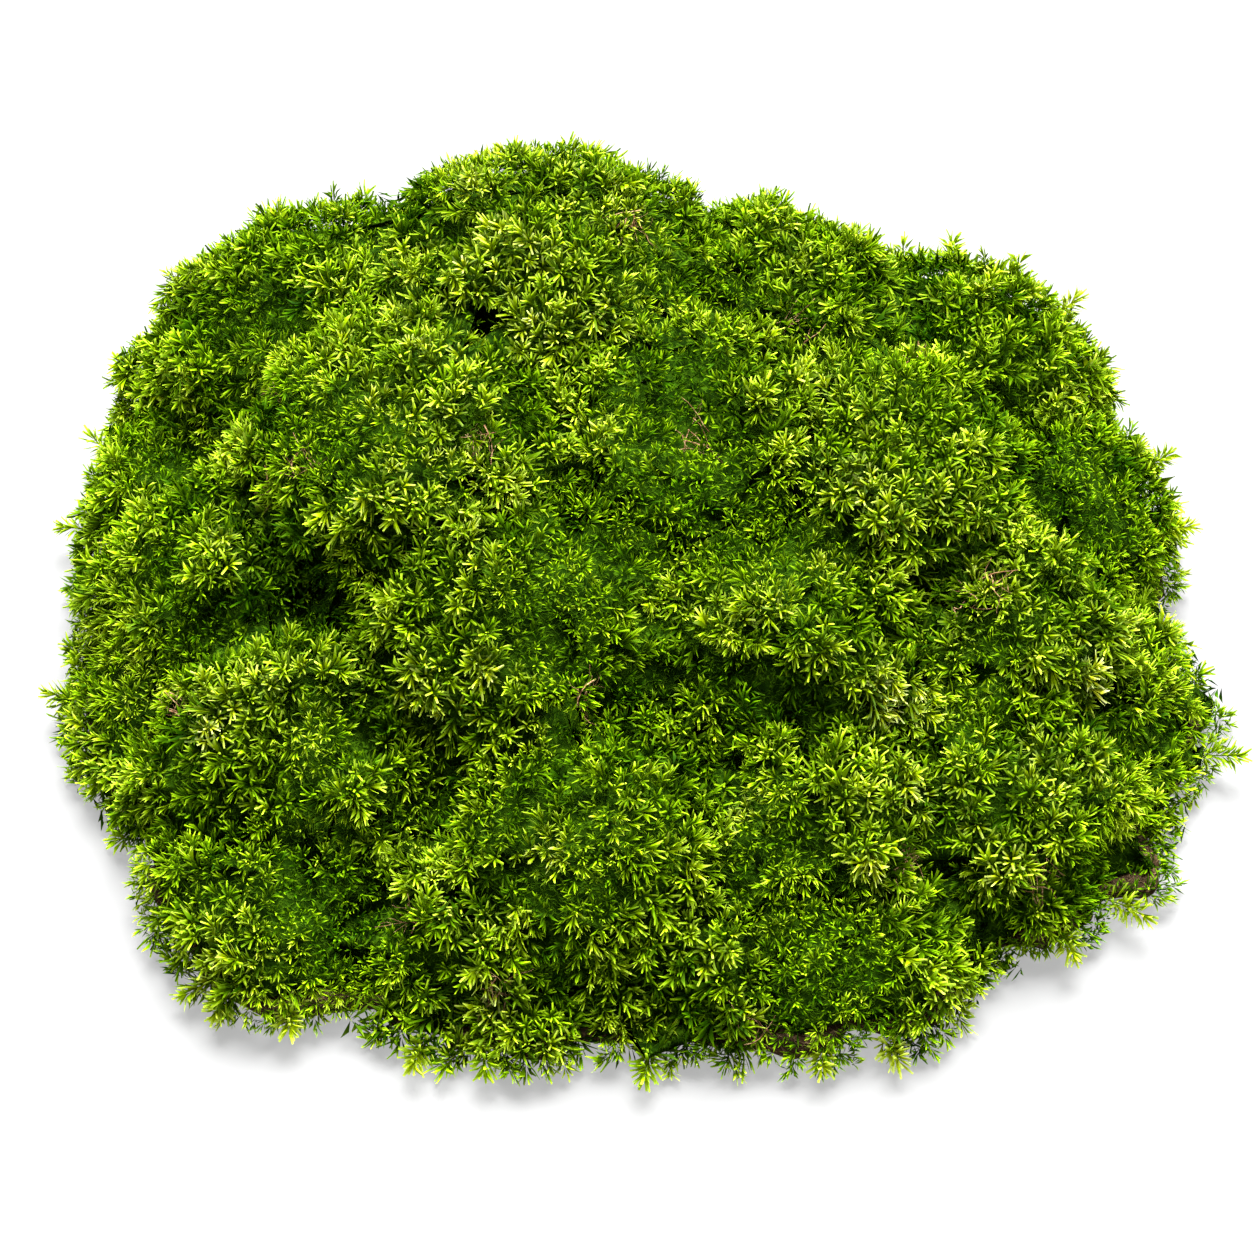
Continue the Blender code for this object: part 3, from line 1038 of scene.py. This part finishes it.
def grow_stray_shoot(node):
    """A stray shoot's stem and leaves as one mesh."""
    chance = random.Random(node)
    foot, bend, tip = stray_shoot_line(node, chance)
    length = (tip - foot).length
    shape = new_leafy_shape()
    rings = []
    across, along = shape.verts.layers.float["across"], shape.verts.layers.float["along"]

    def at(t):
        return foot * (1 - t) ** 2 + bend * 2 * t * (1 - t) + tip * t**2

    def frame_at(t):
        forward = (at(min(t + CLOSE, 1.0)) - at(max(t - CLOSE, 0.0))).normalized()
        return forward.to_track_quat("Z", "Y").to_matrix()

    for k in range(STEM_PARTS + 1):
        t = k / STEM_PARTS * STEM_END
        turn = frame_at(t)
        ring = []
        for i in range(STEM_SIDES):
            angle = math.tau * i / STEM_SIDES
            radius = STEM_RADIUS * (1 - STEM_TAPER * t)
            spoke = Vector((math.cos(angle) * radius, math.sin(angle) * radius, 0))
            v = shape.verts.new(at(t) + turn @ spoke)
            v[across] = -1 if i < STEM_SIDES / 2 else 1
            v[along] = STEM_ALONG
            ring.append(v)
        rings.append(ring)
    for low, high in zip(rings, rings[1:]):
        for i in range(STEM_SIDES):
            j = (i + 1) % STEM_SIDES
            shape.faces.new((low[i], low[j], high[j], high[i]))
    shape.faces.new(rings[0][::-1])
    shape.faces.new(rings[-1])
    leaves = round(length * 0.92 / STRAY_LEAF_STEP)
    turned = chance.uniform(0, math.tau)
    for k in range(leaves):
        t = 0.06 + 0.94 * k / leaves
        turned += STRAY_TURN + chance.uniform(-0.25, 0.25)
        single = new_leafy_shape()
        outward = Vector((math.cos(turned), math.sin(turned), 0))
        near_tip = t**4
        add_leaf(
            single,
            outward * STEM_RADIUS * 0.5,
            outward,
            math.radians(54 - 34 * near_tip + chance.uniform(-12, 12)),
            math.radians(16 + chance.uniform(-24, 22)),
            MM * (4.8 - 1.2 * near_tip) * chance.uniform(0.8, 1.12),
            MM * 0.66 * chance.uniform(0.85, 1.1),
            blunt=True,
        )
        place = Matrix.Translation(at(t)) @ frame_at(t).to_4x4()
        bmesh.ops.transform(single, matrix=place, verts=single.verts)
        held = as_mesh(single, "leaf")
        shape.from_mesh(held)
        bpy.data.meshes.remove(held)
    shade = chance.uniform(0.36, 0.64)
    leaf_map = shape.loops.layers.uv.new("OFBake")
    for face in shape.faces:
        for loop in face.loops:
            strip = (STRIP_EDGE + STRIP_USED * loop.vert[along]) / BANDS
            loop[leaf_map].uv = (shade + 0.012 * loop.vert[across], strip)
    mesh = as_mesh(shape, node + "_leaves")
    strip_marks(mesh)
    lay_on_floor(mesh)
    mesh.materials.append(leaf_finish)
    return mesh


for node in sorted(name for name in frame["nodes"] if name.startswith("stray_shoot")):
    stray = put_in_scene(node + "_leaves", grow_stray_shoot(node))
    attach(stray, "root")
    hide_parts(node)

# ----------------------------------------
# The old stems: thin, branched, pinkish-brown leftovers of dead shoots, bare or with a few withered
# leaves. They lie criss-cross in the worn hollows, held by the living moss around them.

OLD_STEMS_EACH = 7  # in each hollow
OLD_STEM_SIDES = 3
OLD_STEM_PARTS = 5
OLD_STEM_TAPER = 0.65
CROOKED = 0.34
CURLED_UP = 0.16
BRANCH_LENGTH = 0.45  # of its stem's
BRANCH_RADIUS = 0.7
STEM_STOPS = ((0.25, (0.045, 0.020, 0.009)), (0.55, (0.190, 0.095, 0.042)), (0.90, (0.430, 0.290, 0.150)))


def add_tube(shape, points, radii, sides):
    """A closed tube through points, with a radius at each."""
    rings = []
    for i, (point, radius) in enumerate(zip(points, radii)):
        forward = (points[min(i + 1, len(points) - 1)] - points[max(i - 1, 0)]).normalized()
        turn = forward.to_track_quat("Z", "Y").to_matrix()
        ring = []
        for k in range(sides):
            angle = math.tau * k / sides
            spoke = Vector((math.cos(angle), math.sin(angle), 0))
            ring.append(shape.verts.new(point + turn @ spoke * radius))
        rings.append(ring)
    shape.faces.new(rings[0][::-1])
    shape.faces.new(rings[-1])
    for low, high in zip(rings, rings[1:]):
        for k in range(sides):
            j = (k + 1) % sides
            shape.faces.new((low[k], low[j], high[j], high[k]))


def lay_old_stem(shape, foot, way, out, length, radius, chance, branches):
    """A crooked stem from foot along way, that curls up along out, and its branches."""
    points, radii = [foot], [radius]
    heading = way.copy()
    for i in range(OLD_STEM_PARTS):
        sway = Vector([chance.uniform(-1, 1) for _ in range(3)])
        heading = (heading + sway * CROOKED + out * CURLED_UP * i / OLD_STEM_PARTS).normalized()
        points.append(points[-1] + heading * length / OLD_STEM_PARTS)
        radii.append(radius * (1 - OLD_STEM_TAPER * (i + 1) / OLD_STEM_PARTS))
    add_tube(shape, points, radii, OLD_STEM_SIDES)
    for _ in range(branches):
        i = chance.randrange(1, OLD_STEM_PARTS)
        aside = (way + Vector([chance.uniform(-1, 1) for _ in range(3)]) * 1.1 + out * 0.4).normalized()
        thin = radii[i] * BRANCH_RADIUS
        lay_old_stem(shape, points[i], aside, out, length * BRANCH_LENGTH, thin, chance, 0)


def make_old_stems():
    """The stems of every hollow as one mesh."""
    chance = random.Random("old stems")
    shape = bmesh.new()
    for mark in hollow_marks:
        middle, out, _, _ = skin_tree.find_nearest(Vector(mark))
        one = out.orthogonal().normalized()
        other = out.cross(one)
        for _ in range(OLD_STEMS_EACH):
            angle = chance.uniform(0, math.tau)
            way = one * math.cos(angle) + other * math.sin(angle)
            aside = way.cross(out) * chance.uniform(-0.8, 0.8) * HOLLOW_RADIUS
            back = way * HOLLOW_RADIUS * chance.uniform(0.4, 1.0)
            foot = middle + aside - back - out * MM * chance.uniform(0.6, 3.2)
            length = MM * chance.uniform(6, 12)
            radius = MM * chance.uniform(0.13, 0.24)
            lay_old_stem(shape, foot, way, out, length, radius, chance, chance.randrange(3))
    mesh = as_mesh(shape, "old_stems")
    mesh.shade_smooth()
    return mesh


old_stem_mesh = make_old_stems()
old_stem_mesh.materials.append(litter_material("old_stem", 300.0, STEM_STOPS, 0.7, 0.0003))
old_stems = put_in_scene("old_stems", old_stem_mesh)
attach(old_stems, "root")
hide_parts("humus_mat")

# The loose whorls and the surface, which were only needed for the growing, are cleared away.
for whorls in (coarse_whorls, fine_whorls, spray_whorls):
    for whorl in list(whorls.objects):
        bpy.data.objects.remove(whorl)
    bpy.data.collections.remove(whorls)
skin.free()

# ----------------------------------------
# The studio: a white table, lit a little from below, that runs into a white surround, and a broad soft
# light over the back.

WHITE = (1.0, 1.0, 1.0, 1.0)
TABLE_WHITE = (0.10, 0.10, 0.10, 1.0)
TABLE_GLOW = 0.42
TABLE_SIZE = 40.0
SURROUND_LIGHT = 0.50
KEY_STRENGTH = 22.0
KEY_BREADTH = math.radians(44)
KEY_WAY = (-0.06, -0.47, -0.87)

bpy.ops.mesh.primitive_plane_add(size=TABLE_SIZE)
table = bpy.context.object
table.name = "table"
table_finish, w = new_material("white_table")
glow = {"Emission Color": WHITE, "Emission Strength": TABLE_GLOW}
white = w.add("ShaderNodeBsdfPrincipled", {"Base Color": TABLE_WHITE, "Roughness": 0.9, **glow})
w.add("ShaderNodeOutputMaterial", {"Surface": white.outputs["BSDF"]})
table.data.materials.append(table_finish)

world = bpy.data.worlds.new("surround")
bpy.context.scene.world = world
world.use_nodes = True
surround = world.node_tree.nodes["Background"].inputs
surround["Color"].default_value = WHITE
surround["Strength"].default_value = SURROUND_LIGHT

sun = put_in_scene("soft_key", bpy.data.lights.new("soft_key", "SUN"))
sun.data.energy = KEY_STRENGTH
sun.data.angle = KEY_BREADTH
sun.rotation_euler = Vector(KEY_WAY).to_track_quat("-Z", "Y").to_euler()

LENS = 100.0
SENSOR = 36.0
LOOKING_DOWN = math.radians(48)
FRAME_WIDTH = 0.301  # what the picture takes in at the clump's middle
AIM_ACROSS = -0.0012
AIM_UP = 0.0036
distance = FRAME_WIDTH / 2 / (SENSOR / 2 / LENS)
forward = Vector((0, math.cos(LOOKING_DOWN), -math.sin(LOOKING_DOWN)))
picture_up = Vector((0, math.sin(LOOKING_DOWN), math.cos(LOOKING_DOWN)))
aim = Vector((AIM_ACROSS, 0, 0)) + picture_up * AIM_UP
camera = put_in_scene("camera", bpy.data.cameras.new("camera"))
camera.data.lens = LENS
camera.data.sensor_width = SENSOR
camera.data.clip_start = 0.01
camera.location = aim - forward * distance
camera.rotation_euler = forward.to_track_quat("-Z", "Y").to_euler()
bpy.context.scene.camera = camera
bpy.context.scene.view_settings.view_transform = "Standard"
